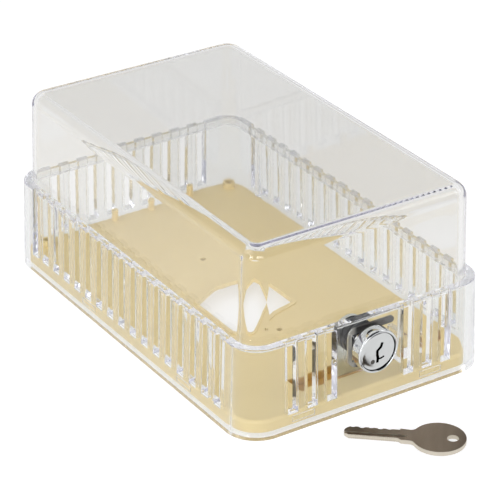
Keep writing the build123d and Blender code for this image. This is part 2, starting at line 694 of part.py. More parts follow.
with BuildPart() as key:
    with BuildSketch(key_plane):
        with BuildLine():
            Polyline((0, tip_half_width), *cut_edge, (blade_length, blade_far_edge),
                     (blade_length, stem_half_width),
                     (bow_centre, stem_waist), (bow_centre, -stem_waist),
                     (blade_length + near_shoulder, -stem_waist),
                     *near_edge, (tip_bevel, -blade_near_edge), (0, -tip_half_width), close=True)
        make_face()
        with Locations((bow_centre, 0)):
            Circle(bow_radius)
        meeting = [corner for corner in vertices() if blade_length + near_shoulder < corner.X < bow_centre]
        fillet(meeting, stem_flare)
        with Locations((bow_centre + bow_hole_from_centre, 0)):
            Circle(bow_hole_radius, mode=Mode.SUBTRACT)
    extrude(amount=key_thickness)
    for level, direction, place in ((key_thickness, -1, milled_groove_top), (0.0, 1, milled_groove_under)):
        with BuildSketch(key_plane.offset(level)):
            with Locations(((milled_groove_end - cut_over) / 2, place)):
                Rectangle(milled_groove_end + cut_over, milled_groove_width)
        extrude(amount=direction * milled_groove_depth, mode=Mode.SUBTRACT)
save(key, "key")
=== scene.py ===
import math

import bmesh
import bpy
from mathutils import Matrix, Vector


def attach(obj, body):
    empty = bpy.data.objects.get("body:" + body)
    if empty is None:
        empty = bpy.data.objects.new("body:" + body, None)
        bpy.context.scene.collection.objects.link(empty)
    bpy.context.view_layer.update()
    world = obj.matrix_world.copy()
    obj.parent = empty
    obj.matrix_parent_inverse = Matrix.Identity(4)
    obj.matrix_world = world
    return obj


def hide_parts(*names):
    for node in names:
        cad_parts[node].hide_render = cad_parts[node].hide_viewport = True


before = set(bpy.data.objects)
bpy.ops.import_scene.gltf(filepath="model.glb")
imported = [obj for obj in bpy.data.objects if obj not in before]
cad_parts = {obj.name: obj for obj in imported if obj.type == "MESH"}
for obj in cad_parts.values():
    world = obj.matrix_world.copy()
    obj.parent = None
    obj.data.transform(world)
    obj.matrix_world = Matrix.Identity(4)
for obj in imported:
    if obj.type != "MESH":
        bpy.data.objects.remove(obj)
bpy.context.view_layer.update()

mm = 0.001

# ---- Camera and studio ----------------------------------------------------------------------
# The guard lies on its back on a pale table in a plain white studio.  The camera looks down
# on the corner to the left of the lock through a long lens.
eye = bpy.data.objects.new("camera", bpy.data.cameras.new("camera"))
bpy.context.scene.collection.objects.link(eye)
looks_down, looks_right = 28.103, 33.051
eye.location = (-0.53210, -0.82527, 0.55424)
eye.rotation_euler = (math.radians(90 - looks_down), 0, math.radians(-looks_right))
eye.data.lens = 174.73
eye.data.sensor_width = 36
eye.data.clip_end = 10
bpy.context.scene.camera = eye
bpy.context.scene.view_settings.view_transform = "Standard"
# light turns round inside clear plastic many times before it comes out
paths = bpy.context.scene.cycles
paths.max_bounces, paths.glossy_bounces, paths.transmission_bounces = 96, 96, 96
paths.transparent_max_bounces, paths.diffuse_bounces = 24, 3


class Wire:
    """The output of a node.  Arithmetic on it adds the Math node for each step."""

    def __init__(self, finish, socket):
        self.finish, self.socket = finish, socket

    def math(self, operation, *others):
        values = dict(enumerate((self, *others)))
        return self.finish.node("ShaderNodeMath", {"operation": operation}, values)

    def __add__(self, other): return self.math("ADD", other)
    def __sub__(self, other): return self.math("SUBTRACT", other)
    def __mul__(self, other): return self.math("MULTIPLY", other)
    def __rsub__(self, other): return self.math("MULTIPLY", -1).math("ADD", other)
    __radd__, __rmul__ = __add__, __mul__

    def clamped(self): return self.math("MAXIMUM", 0).math("MINIMUM", 1)


class Finish:
    """A material, or the room's light, that is built up node by node."""

    def __init__(self, holder, shader="ShaderNodeBsdfPrincipled", **constants):
        holder.use_nodes = True
        self.holder, self.tree = holder, holder.node_tree
        self.tree.nodes.clear()
        kind = "World" if isinstance(holder, bpy.types.World) else "Material"
        self.end = self.tree.nodes.new("ShaderNodeOutput" + kind)
        self.shader = self.tree.nodes.new(shader)
        self.tree.links.new(self.shader.outputs[0], self.end.inputs["Surface"])
        self.set(**constants)

    def node(self, kind, settings=None, values=None, output=0):
        """Adds a node: its settings first, then values or wires for its inputs."""
        node = self.tree.nodes.new(kind)
        for name, value in (settings or {}).items():
            setattr(node, name, value)
        for name, value in (values or {}).items():
            self.feed(node.inputs[name], value)
        return Wire(self, node.outputs[output])

    def feed(self, socket, value):
        if isinstance(value, Wire):
            self.tree.links.new(value.socket, socket)
        else:
            socket.default_value = value

    def set(self, **values):
        """Feeds wires or values into the shader."""
        for name, value in values.items():
            self.feed(self.shader.inputs[name.replace("_", " ")], value)

    def axes(self, vector):
        """A vector's parts across, along and up."""
        return [self.node("ShaderNodeSeparateXYZ", values={0: vector}, output=axis)
                for axis in range(3)]

    def ray(self, kind):
        """1 for a ray of that kind, and 0 for any other."""
        return self.node("ShaderNodeLightPath", output=f"Is {kind} Ray")

    def place(self):
        return self.node("ShaderNodeTexCoord", output="Object")

    def noise(self, size_mm, detail, stretch=(1, 1, 1), at=None):
        """Noise with features of about that size."""
        scaled = self.node("ShaderNodeMapping",
                           values={"Vector": at or self.place(), "Scale": stretch})
        return self.node("ShaderNodeTexNoise", values={
            "Vector": scaled, "Scale": 1 / (size_mm * mm), "Detail": detail, "Roughness": 0.55})

    def mix(self, mask, first, second):
        """A colour between two, by a mask."""
        return self.node("ShaderNodeMix", {"data_type": "RGBA"},
                         {0: mask, 6: first, 7: second}, output=2)

    def bump(self, height, depth_mm, strength):
        self.set(Normal=self.node("ShaderNodeBump", values={
            "Height": height, "Distance": depth_mm * mm, "Strength": strength}))


def colour(red, green, blue):
    """A colour as a screen shows it, 0 to 255, turned to linear light."""
    parts = [part / 255 for part in (red, green, blue)]
    linear = [part / 12.92 if part <= 0.04045 else ((part + 0.055) / 1.055) ** 2.4
              for part in parts]
    return (*linear, 1.0)


def new_material(name, **constants):
    return Finish(bpy.data.materials.new(name), **constants)


studio = bpy.data.worlds.new("studio")
bpy.context.scene.world = studio
air = Finish(studio, shader="ShaderNodeBackground")
across, along, up = air.axes(air.node("ShaderNodeTexCoord", output="Generated"))
straight_at, shine = air.ray("Camera"), air.ray("Glossy")
seen = straight_at.math("MAXIMUM", air.ray("Transmission"))
plain = 1 - shine
# facing is 1 straight away from the camera and -1 back towards it.  Ahead, the room is white up
# to the top of the backdrop; above and behind it is dim
facing = across * 0.545 + along * 0.838
backdrop = (facing * 2.2 + 0.9).clamped() * (1 - ((up - 0.22) * 5).clamped())
below = (up * -8).clamped()
least_in_metal, least_in_plastic, even_level = 0.06, 0.35, 0.55
in_metal = (backdrop * 0.95 + below * 0.95).clamped() * (1 - least_in_metal) + least_in_metal
in_plastic = (facing * 1.6 + 1.25).clamped() * (1 - least_in_plastic) + least_in_plastic
level = seen * in_plastic + (1 - seen) * (shine * in_metal + plain * even_level)
# behind the camera the room is a little cooler
cool = (1 - straight_at) * (1 - (facing * 1.6 + 1.0).clamped()) * (1 - plain * (1 - seen))
air.set(Strength=straight_at + (1 - straight_at) * level,
        Color=air.mix(cool, (1, 1, 1, 1), (0.8, 0.82, 1.0, 1)))

middle = Vector((0, 0, 0.04))


def lamp(name, place, size, watts):
    """A soft box turned to the middle of the guard."""
    light = bpy.data.lights.new(name, "AREA")
    light.shape, light.size, light.size_y, light.energy = "RECTANGLE", size[0], size[1], watts
    holder = bpy.data.objects.new(name, light)
    bpy.context.scene.collection.objects.link(holder)
    holder.location = place
    holder.rotation_euler = (middle - Vector(place)).to_track_quat("-Z", "Y").to_euler()


lamp("soft_box_left", (-0.9, 0.1, 0.9), (0.7, 0.7), 3.0)
lamp("soft_box_right", (0.9, -0.5, 0.8), (0.6, 0.6), 2.0)
lamp("soft_box_front", (-0.35, -1.25, 0.42), (0.9, 0.35), 4.8)
lamp("strip_left", (-1.15, -0.55, 0.35), (0.16, 0.7), 3.5)

# ---- Wall plate -----------------------------------------------------------------------------
# The opaque plate that is screwed to the wall and stands just off it on posts: moulded in
# beige plastic with a turned edge, a lipped opening for the wires, two screw bosses in the far
# corners, two box screw holes, a row of studs and a pocket for the cam.


def dress(node, finish):
    """Gives a part of the frame its finish."""
    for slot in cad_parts[node].material_slots:
        slot.material = finish.holder


beige = new_material("beige_plastic", Roughness=0.42, IOR=1.5)
cloud = beige.noise(30, detail=2)
grain = beige.noise(0.35, detail=2)
# painted shade: the cam's pocket is painted a darker amber than the open skin, for the shadow that
# falls in it
pocket_half_width, pocket_forward, pocket_half_length, pocket_top = 25.9, 81.65, 4.9, 6.6
spot_x, spot_y, spot_z = beige.axes(beige.place())
from_pocket = (spot_y * 1000 + pocket_forward).math("ABSOLUTE")
pocket_shade = 1 - (spot_x.math("ABSOLUTE") * 1000 - pocket_half_width).clamped()
pocket_shade = pocket_shade * (1 - (spot_z * 1000 - pocket_top).clamped())
pocket_shade = pocket_shade * (1 - (from_pocket - pocket_half_length).clamped())
open_skin = beige.mix(cloud, colour(223, 200, 143), colour(228, 207, 152))
beige.set(Base_Color=beige.mix(pocket_shade, open_skin, colour(190, 147, 72)),
          Roughness=0.36 + grain * 0.16)
beige.bump(grain, 0.02, 0.35)
dress("wall_plate", beige)

# ---- Ring base ------------------------------------------------------------------------------
# The clear ring that stands round the plate: injection moulded, walls leaning inwards, a row of
# vent slots in every wall, and ribs inside its side and far walls that the cover's skirt stands
# on.  The lock goes through a hole with two flats in the front wall.


def clear_plastic(name, tint):
    """Clear moulded plastic: faint flow lines, fine dust and wipe marks."""
    clear = new_material(name, Transmission_Weight=1.0, IOR=1.5, Roughness=0.03)
    flow = clear.noise(22, detail=2, stretch=(1, 1, 2.5))
    dust = clear.noise(0.5, detail=3)
    in_flow = [part - 2 for part in tint]
    clear.set(Base_Color=clear.mix(flow, colour(*tint), colour(*in_flow)),
              Roughness=0.012 + dust * flow * 0.05)
    clear.bump(flow, 0.04, 0.4)
    # light that only passes through on its way to a shadow goes straight on
    straight = clear.node("ShaderNodeBsdfTransparent", values={"Color": (0.86, 0.865, 0.87, 1)})
    both = clear.node("ShaderNodeMixShader", values={
        0: clear.ray("Shadow"), 1: Wire(clear, clear.shader.outputs[0]), 2: straight})
    clear.feed(clear.end.inputs["Surface"], both)
    # the plastic's own cast, which shows where light runs a long way inside it
    cast = clear.node("ShaderNodeVolumeAbsorption",
                      values={"Color": (0.78, 0.78, 0.86, 1), "Density": 11})
    clear.feed(clear.end.inputs["Volume"], cast)
    return clear


end_walls = ("front", "far")


def round_path(core_x, core_y, stops, arc_steps=24):
    """Places round a rectangle with round corners, anticlockwise from the front left corner.
    Each is the point on the straight core, the way out, the wall's name and how far along."""
    path = []
    quarter = {"front": -90, "right": 0, "far": 90, "left": 180}
    for wall, turn in quarter.items():
        out = Vector((math.cos(math.radians(turn)), math.sin(math.radians(turn)), 0))
        run = Vector((-out.y, out.x, 0))
        half, reach = (core_x, core_y) if wall in end_walls else (core_y, core_x)
        inner = sorted(stop for stop in stops.get(wall, ()) if abs(stop) < half - 1e-6)
        for along_wall in [-half, *inner, half]:
            path.append((out * reach + run * along_wall, out, wall, along_wall))
        corner = out * reach + run * half
        for step in range(1, arc_steps):
            angle = math.radians(turn + 90 * step / arc_steps)
            path.append((corner, Vector((math.cos(angle), math.sin(angle), 0)), "corner", None))
    return path


# the six sides of a cell: where the next cell is, and the side's corners, each by its steps
# round the wall, up it and inwards
cell_sides = (
    ((0, 0, -1), ((0, 0, 0), (1, 0, 0), (1, 1, 0), (0, 1, 0))),
    ((0, 0, 1), ((0, 0, 1), (0, 1, 1), (1, 1, 1), (1, 0, 1))),
    ((0, -1, 0), ((0, 0, 0), (0, 0, 1), (1, 0, 1), (1, 0, 0))),
    ((0, 1, 0), ((0, 1, 0), (1, 1, 0), (1, 1, 1), (0, 1, 1))),
    ((-1, 0, 0), ((0, 0, 0), (0, 1, 0), (0, 1, 1), (0, 0, 1))),
    ((1, 0, 0), ((1, 0, 0), (1, 0, 1), (1, 1, 1), (1, 1, 0))),
)


def wall_cells(name, path, levels, depths, plastic, spot, crowned=False):
    """A wall built of cells, place by level by depth, with a skin wherever plastic meets air.
    A crowned wall is closed over the top, outside and in."""
    mesh = bmesh.new()
    corners, count = {}, len(path)

    def corner(i, j, k):
        key = (i % count, j, k)
        if key not in corners:
            corners[key] = mesh.verts.new(spot(path[key[0]], j, k))
        return corners[key]

    def held(i, j, k):
        if not (0 <= j < levels and 0 <= k < depths):
            return False
        here, there = path[i % count], path[(i + 1) % count]
        if here[2] == there[2] != "corner":
            return plastic(here[2], (here[3] + there[3]) / 2, j, k)
        return plastic("corner", None, j, k)

    cells = [(i, j, k) for i in range(count) for j in range(levels) for k in range(depths)]
    for i, j, k in cells:
        if not held(i, j, k):
            continue
        for (round_wall, rise, inwards), places in cell_sides:
            crown = crowned and j + rise == levels
            if not crown and not held(i + round_wall, j + rise, k + inwards):
                mesh.faces.new([corner(i + a, j + b, k + c) for a, b, c in places])
    if crowned:
        mesh.faces.new([corner(i, levels, 0) for i in range(count)])
        mesh.faces.new([corner(i, levels, depths) for i in reversed(range(count))])
    return finished(name, mesh)


def finished(name, mesh):
    """Puts a mesh into the scene as a smooth piece."""
    data = bpy.data.meshes.new(name)
    mesh.normal_update()
    mesh.to_mesh(data)
    mesh.free()
    piece = bpy.data.objects.new(name, data)
    bpy.context.scene.collection.objects.link(piece)
    data.shade_smooth()
    return piece


def settle(piece):
    """Works the piece's modifiers into its mesh."""
    ready = piece.evaluated_get(bpy.context.evaluated_depsgraph_get())
    data = bpy.data.meshes.new_from_object(ready)
    piece.modifiers.clear()
    piece.data = data


def round_edges(piece, width_at, steps=3):
    """Rounds a piece's edges.  width_at gives the width in mm from the two ends of an edge."""
    mesh = bmesh.new()
    mesh.from_mesh(piece.data)
    mesh.normal_update()
    widths = mesh.edges.layers.float.new("bevel_weight_edge")
    for edge in mesh.edges:
        if len(edge.link_faces) == 2 and edge.calc_face_angle() > math.radians(35):
            edge[widths] = min(1.0, width_at(*[vert.co / mm for vert in edge.verts]))
    mesh.to_mesh(piece.data)
    mesh.free()
    rounds = piece.modifiers.new("rounds", "BEVEL")
    rounds.width, rounds.segments, rounds.limit_method = mm, steps, "WEIGHT"
    rounds.use_clamp_overlap = False
    settle(piece)


def join_or_cut(piece, tools, operation):
    """Joins solids to a piece, or cuts them out of it."""
    for tool in tools:
        step = piece.modifiers.new(operation, "BOOLEAN")
        step.operation, step.object, step.solver = operation, tool, "EXACT"
        settle(piece)
        bpy.data.objects.remove(tool)


def even_shading(piece):
    """Large faces stay flat to the light, and only the rounds between them shade."""
    piece.data.shade_smooth()
    piece.data.set_sharp_from_angle(angle=math.radians(38))
    weighted = piece.modifiers.new("even_shading", "WEIGHTED_NORMAL")
    weighted.keep_sharp, weighted.weight = True, 50


def coat(piece, finish):
    """Gives a whole piece one finish."""
    piece.data.materials.clear()
    piece.data.materials.append(finish.holder)


# the wall's surfaces, by how far out from a straight core each one is: the leaning outside, the
# backs of the notches over the slots and of the pockets for the plate's tabs, the leaning
# inside and the ribs' faces
core_x, core_y = 49.0, 87.75
outside_radius, notch_radius, pocket_radius = 15.5, 12.0, 11.66
inside_radius, rib_radius = 10.86, 8.75
notch_layer, pocket_layer, rib_layer = 0, 2, 3
outer_slope, inner_slope = math.tan(math.radians(1.97)), math.tan(math.radians(1.0))
# the heights where something begins: foot, pockets, plain wall, ribs, slots, notches and rim
ring_levels = [0, 3.6, 6.4, 8.0, 9.2, 40.6, 43.6]
pocket_level, rib_levels, slot_level, notch_level = 1, (3, 4), 4, 5
vent_half, vent_pitch = 2.5, 10.05
side_vents = [step * vent_pitch for step in range(-8, 9)]
far_vents = [step * vent_pitch for step in range(-4, 5)]
front_vents = [place for place in far_vents if abs(place) > 16]
vents = {"front": front_vents, "far": far_vents, "right": side_vents, "left": side_vents}
side_tabs, end_tabs, tab_half = (-51.0, 32.0), (-33.5, 33.5), 5.7
side_rib, end_rib, rib_half = 7.5 * vent_pitch, 3.5 * vent_pitch, 1.5


def tabs_of(wall):
    if wall in end_walls:
        return end_tabs
    # the left wall is walked from the far end to the front
    return side_tabs if wall == "right" else [-place for place in side_tabs]


def rib_of(wall):
    return end_rib if wall in end_walls else side_rib


def ring_stops():
    stops = {}
    for wall, slots in vents.items():
        rows = ((slots, vent_half), (tabs_of(wall), tab_half),
                ((-rib_of(wall), rib_of(wall)), rib_half))
        stops[wall] = [(place + side * half) * mm
                       for places, half in rows for place in places for side in (-1, 1)]
    return stops


def ring_plastic(wall, place, level, layer):
    """Whether a cell of the ring holds plastic."""
    if wall == "corner":
        return layer < rib_layer
    place = place / mm
    if layer == rib_layer:
        near_rib = abs(abs(place) - rib_of(wall)) < rib_half
        return wall != "front" and near_rib and level in rib_levels
    if any(abs(place - vent) < vent_half for vent in vents[wall]):
        if level == slot_level or (level == notch_level and layer == notch_layer):
            return False
    if layer == pocket_layer and level == pocket_level:
        return not any(abs(place - tab) < tab_half for tab in tabs_of(wall))
    return True


def ring_spot(place, level, layer):
    core, out, wall, along_wall = place
    height = ring_levels[level]
    radius = (outside_radius - height * outer_slope, notch_radius, pocket_radius,
              inside_radius - height * inner_slope, rib_radius)[layer]
    return core + out * radius * mm + Vector((0, 0, height * mm))


# the height of the lock's axis, the boss round its hole, and how far forward the wall there lies
lock_height, boss_radius, front_wall = 29, 12.5, -95
rim_round, foot_round, slot_round, broken_edge = 0.6, 0.4, 0.32, 0.12


def ring_rounding(first, second):
    """The rim, the foot and the slots' sides are rounded outside, the edges round the lock stay
    sharp, and other edges are only just broken."""
    x, y, z = (first + second) / 2
    beyond = math.hypot(max(0, abs(x) - core_x), max(0, abs(y) - core_y))
    outside = abs(beyond - (outside_radius - z * outer_slope)) < 0.05
    rise = abs(first.z - second.z)
    if outside and rise < 0.01 and z > ring_levels[-1] - 0.1:
        return rim_round
    if outside and rise < 0.01 and z < 0.1:
        return foot_round
    if outside and rise > 2:
        return slot_round
    if math.hypot(x, z - lock_height) < boss_radius + 1 and y < front_wall:
        return 0
    return broken_edge


def solid_between(name, near, far):
    """A solid between two outlines that have the same number of points."""
    mesh = bmesh.new()
    near, far = [[mesh.verts.new(point) for point in outline] for outline in (near, far)]
    mesh.faces.new(near)
    mesh.faces.new(reversed(far))
    for step in range(len(near)):
        after = (step + 1) % len(near)
        mesh.faces.new((near[after], near[step], far[step], far[after]))
    bmesh.ops.recalc_face_normals(mesh, faces=mesh.faces)
    return finished(name, mesh)


def prism(name, outline, front, back, axis_height=lock_height):
    """A solid that runs along the guard between two distances.  Its outline, across and up, is
    drawn round the lock's axis, unless another height is given."""
    return solid_between(name, *[[(x * mm, y * mm, (z + axis_height) * mm) for x, z in outline]
                                 for y in (front, back)])


def circle(u, v, radius, steps):
    turns = [math.tau * step / steps for step in range(steps)]
    return [(u + radius * math.cos(turn), v + radius * math.sin(turn)) for turn in turns]


ring_path = round_path(core_x * mm, core_y * mm, ring_stops())
ring = wall_cells("ring", ring_path, len(ring_levels) - 1, rib_layer + 1, ring_plastic, ring_spot)
# the boss behind the front wall that the clip bears on, and the hole with two flats through it
inside_wall, boss_back, hole_front, hole_back = -101.5, -97.8, -105, -96
hole_radius, half_flats = 8.05, 7.1
boss = circle(0, 0, boss_radius, 96)
hole = [(x, max(-half_flats, min(half_flats, z))) for x, z in circle(0, 0, hole_radius, 96)]
join_or_cut(ring, [prism("boss", boss, inside_wall, boss_back)], "UNION")
join_or_cut(ring, [prism("hole", hole, hole_front, hole_back)], "DIFFERENCE")
round_edges(ring, ring_rounding)
even_shading(ring)
coat(ring, clear_plastic("ring_clear", (246, 247, 246)))
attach(ring, "guard")
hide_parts("ring_base")

# ---- Lock -----------------------------------------------------------------------------------
# A cam lock: a die-cast housing in bright chrome held by a spring steel clip, a plug with brass
# wafers, and a zinc plated cam on its square tail under a washer and screw.


def plated(name, base, roughness, scratch):
    metal = new_material(name, Metallic=1.0)
    smear = metal.noise(6, detail=3)
    fine = metal.noise(0.25, detail=2)
    metal.skin = metal.mix(smear, colour(*base), colour(*[part - 10 for part in base]))
    metal.set(Base_Color=metal.skin, Roughness=roughness + smear * roughness * 0.5)
    metal.bump(fine, 0.01, scratch)
    return metal


def from_axis(metal):
    """Distance from the lock's axis and distance along it, both in mm."""
    x, y, z = metal.axes(metal.place())
    up = z - lock_height * mm
    return (x * x + up * up).math("SQRT") * 1000, y * 1000


chrome = plated("chrome", (226, 228, 230), 0.05, 0.1)
distance, along_axis = from_axis(chrome)
# painted shade: the fine gap round the plug's face is painted near black, for the shadow in it
gap_shade = ((9.22 - distance) * 20).clamped() * ((along_axis + 107.85) * 10).clamped()
# behind the ring's wall the casting is unpolished under its plating
unpolished = ((along_axis + 97.6) * 4).clamped()
chrome.set(Base_Color=chrome.mix(gap_shade, chrome.skin, colour(20, 20, 24)),
           Metallic=1 - unpolished * 0.6, Roughness=0.05 + unpolished * 0.35)
plug_chrome = plated("plug_chrome", (214, 216, 217), 0.1, 0.2)
distance, along_axis = from_axis(plug_chrome)
# painted shade: the plug is painted near black behind its face and inside the keyway, where shadow
# falls
shade_behind_face = ((along_axis + 107.2) * 10).clamped()
keyway_shade = ((along_axis + 107.82) * 12).clamped() * ((5.4 - distance) * 20).clamped()
plug_chrome.set(Base_Color=plug_chrome.mix(shade_behind_face.math("MAXIMUM", keyway_shade),
                                           plug_chrome.skin, colour(14, 14, 16)))
zinc = plated("zinc", (214, 215, 208), 0.2, 0.3)
spring_steel = plated("spring_steel", (100, 98, 95), 0.28, 0.3)
# a painted highlight: the clip's closed end is painted lighter and less metallic
to_left = spring_steel.axes(spring_steel.place())[0] * -1000
closed_end_highlight = ((to_left - 5.5) * 0.5).clamped()
spring_steel.set(Base_Color=spring_steel.mix(closed_end_highlight, spring_steel.skin, colour(190, 188, 180)),
                 Metallic=1 - closed_end_highlight * 0.4)
brass = plated("brass", (214, 178, 104), 0.25, 0.3)
for node in ("face_pin", "housing_clip"):
    dress(node, spring_steel)
for node in ("stop_washer", "cam", "lock_washer", "cam_screw"):
    dress(node, zinc)
wafer_count = 5
for number in range(1, wafer_count + 1):
    dress(f"wafer_{number}", brass)
    dress(f"wafer_spring_{number}", spring_steel)


def turned(name, profile, closed=True):
    """A turned part on the lock's axis.  Each step of the profile is a radius, a distance along
    the axis, and, where the bar isn't round, its half height and half width."""
    mesh = bmesh.new()
    rings, steps = [], 128
    for radius, y, *flats in profile:
        high, wide = (flats + [None, None])[:2]
        ring_of_points = []
        for step in range(steps):
            angle = math.tau * (step + 0.5) / steps
            x, z = radius * math.cos(angle), radius * math.sin(angle)
            if high:
                z = max(-high, min(high, z))
            if wide:
                x = max(-wide, min(wide, x))
            ring_of_points.append(mesh.verts.new((x * mm, y * mm, (z + lock_height) * mm)))
        rings.append(ring_of_points)
    for first, second in zip(rings, rings[1:] + rings[:1] if closed else rings[1:]):
        for step in range(steps):
            after = (step + 1) % steps
            mesh.faces.new((first[step], first[after], second[after], second[step]))
    if not closed:
        mesh.faces.new(reversed(rings[0]))
        mesh.faces.new(rings[-1])
    bmesh.ops.recalc_face_normals(mesh, faces=mesh.faces)
    return finished(name, mesh)


def upright_bar(name, outline, low, high):
    """A solid that stands upright on its outline."""
    return solid_between(name, *[[(x * mm, y * mm, z * mm) for x, y in outline]
                                 for z in (high, low)])


def arc(u, v, radius, turns):
    """Points round a centre, by their turns in degrees."""
    return [(u + radius * math.cos(math.radians(turn)), v + radius * math.sin(math.radians(turn)))
            for turn in turns]


def stroke(points, width):
    """The outline of a line drawn through points with a cutter of that width."""
    sides = {1: [], -1: []}
    points = [Vector(point) for point in points]
    for place, point in enumerate(points):
        beside = points[max(0, place - 1):place + 2]
        runs = [(after - before).normalized() for before, after in zip(beside, beside[1:])]
        ways_out = [Vector((-run.y, run.x)) for run in runs]
        out = sum(ways_out, Vector((0, 0))).normalized()
        reach = width / 2 / max(0.5, out.dot(ways_out[0]))
        for side in sides:
            sides[side].append(point + out * reach * side)
    return [tuple(point) for point in sides[1] + sides[-1][::-1]]


def as_one(name, parts):
    """Several parts in one piece, each still a shell of its own."""
    mesh = bmesh.new()
    for part in parts:
        mesh.from_mesh(part.data)
        bpy.data.objects.remove(part)
    return finished(name, mesh)


# distances along the lock's axis: the front of the face, the floor of the head's cup, the back
# of the head, the barrel's rear face, and a place well in front that the cutters come from
face_front, cup_floor, head_back, rear_face, in_front = -107.9, -106.6, -102.75, -86.75, -109
bore_radius, cup_radius, head_radius, barrel_radius, barrel_flats = 5.55, 9.1, 10.2, 7.95, 7.0
# the head's rim is round in section and the barrel has two flats and three shallow rings
rim = [(cup_radius, -107.80), (9.25, -108.02), (9.5, -108.10), (9.72, -108.07), (9.93, -107.93),
       (10.09, -107.70), (10.18, -107.35), (head_radius, -107.0)]
housing = turned("housing", [
    (bore_radius, cup_floor), (cup_radius, cup_floor), *rim, (head_radius, head_back),
    (barrel_radius, head_back, barrel_flats), (barrel_radius, rear_face, barrel_flats),
    (bore_radius, rear_face)])
# a cutter shaped like a comb turns the three rings, and in the same cut another broaches the
# four grooves in the bore that the wafers spring into
comb_back, tooth_root, tooth_tip, tooth_half = 9.5, 8.5, 7.5, 0.55
teeth = (-94.66, -92.06, -89.46)
comb = [(comb_back, teeth[0] - tooth_half)]
for tooth in teeth:
    comb += [(tooth_root, tooth - tooth_half), (tooth_tip, tooth - tooth_half),
             (tooth_tip, tooth + tooth_half), (tooth_root, tooth + tooth_half)]
comb.append((comb_back, teeth[-1] + tooth_half))
groove_bottom, land_radius, half_groove = 6.1, 5.23, 37.2
grooves = []
for middle_turn in (0, 90, 180, 270):
    turns = [middle_turn - half_groove + step * 6.2 for step in range(13)]
    grooves += arc(0, 0, groove_bottom, turns) + arc(0, 0, land_radius, [middle_turn + 45])
cutters = as_one("cutters", [turned("comb", comb),
                             prism("grooves", grooves, cup_floor - 0.3, rear_face - 1)])
join_or_cut(housing, [cutters], "DIFFERENCE")
# the stop lug, cast on the rear face
lug_outside, lug_inside = 7.9, 6.5
lug = arc(0, 0, lug_outside, range(2, 180, 8)) + arc(0, 0, lug_inside, range(178, 1, -8))
lug = [(x, min(barrel_flats - 0.05, z)) for x, z in lug]
housing = as_one("housing", [housing, prism("lug", lug, rear_face - 0.25, rear_face + 0.9)])
even_shading(housing)
coat(housing, chrome)
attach(housing, "guard")
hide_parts("lock_housing")

# the plug's face is flat in the middle and falls away to its edge
plug_seat, core_radius, tail_corner, tail_half, tail_end = -106.65, 5.5, 5.2, 3.5, -83.75
face = [(0.6, face_front), (6.7, face_front)]
face += [(6.7 + 0.3 * step, face_front + 0.4 * (step / 7) ** 2) for step in range(1, 8)]
plug = turned("plug", [
    *face, (8.8, plug_seat), (core_radius, plug_seat), (core_radius, rear_face),
    (tail_corner, rear_face, tail_half, tail_half),
    (tail_corner, tail_end, tail_half, tail_half)], closed=False)
keyway = [(1.9, 4.1), (1.25, 2.1), (-0.6, 0.6), (-0.6, -1.4), (-0.25, -2.7), (-0.5, -5.2)]
branch = [(-0.4, -3.5), (1.4, -3.5), (3.05, -3.0)]
keyway_end, pin_hole_end = -91.25, -106.9
join_or_cut(plug, [prism("keyway", stroke(keyway, 1.4), in_front, keyway_end),
                   prism("branch", stroke(branch, 0.86), in_front, keyway_end),
                   prism("pin_hole", circle(-2.9, -4.2, 1.11, 32), in_front, pin_hole_end)],
            "DIFFERENCE")
# a slot through the core for each wafer, and a round pocket beside it for the wafer's spring
first_wafer, wafer_pitch, slot_half = -104.25, 2.6, 0.5
spring_x, spring_bore, spring_low, spring_high = 3.2, 0.88, 26.5, 31.25
slot = [(-3.65, -6.5), (2.35, -6.5), (2.35, 0.5), (3.1, 0.5), (3.1, 2.25), (2.35, 2.25),
        (2.35, 6.5), (-3.65, 6.5)]
for number in range(wafer_count):
    wafer_y = first_wafer + wafer_pitch * number
    pocket = circle(spring_x, wafer_y, spring_bore, 32)
    join_or_cut(plug, [prism("slot", slot, wafer_y - slot_half, wafer_y + slot_half),
                       upright_bar("spring_pocket", pocket, spring_low, spring_high)],
                "DIFFERENCE")
even_shading(plug)
coat(plug, plug_chrome)
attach(plug, "plug")
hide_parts("lock_plug")

# ---- Cover ----------------------------------------------------------------------------------
# The clear cover drops into the ring: moulded with leaning walls and a round top edge.  Its
# tongue carries the curved catch that the cam swings over.
cover_foot, rim_height, round_start = ring_levels[-2], ring_levels[-1], 81.7
cover_core_x, cover_core_y, cover_outside, cover_inside = 48.75, 87.5, 10.0, 7.0
outer_round, inner_round, cover_lean = 6.5, 3.5, 1.55
lean = math.radians(cover_lean)
narrowing = (round_start - rim_height) * math.tan(lean)
# the height and the radius of the outside and of the inside, for each level
cover_heights = [(height, height) for height in (cover_foot, rim_height, round_start)]
outer_start, inner_start = cover_outside - narrowing, cover_inside - narrowing
cover_radii = [(cover_outside, cover_inside)] * 2 + [(outer_start, inner_start)]
round_steps = 10
for step in range(1, round_steps + 1):
    angle = math.radians(cover_lean + (90 - cover_lean) * step / round_steps)
    cover_radii.append((outer_start - outer_round / math.cos(lean) + outer_round * math.cos(angle),
                        inner_start - inner_round / math.cos(lean) + inner_round * math.cos(angle)))
    cover_heights.append((round_start + outer_round * math.sin(angle),
                          round_start + inner_round * math.sin(angle)))


def cover_plastic(wall, place, level, depth):
    """The cover has no openings."""
    return True


def cover_spot(place, level, depth):
    core, out, wall, along_wall = place
    height = cover_heights[level][depth]
    return core + out * cover_radii[level][depth] * mm + Vector((0, 0, height * mm))


cover_path = round_path(cover_core_x * mm, cover_core_y * mm, {})
cover = wall_cells("clear_cover", cover_path, len(cover_heights) - 1, 1, cover_plastic,
                   cover_spot, crowned=True)
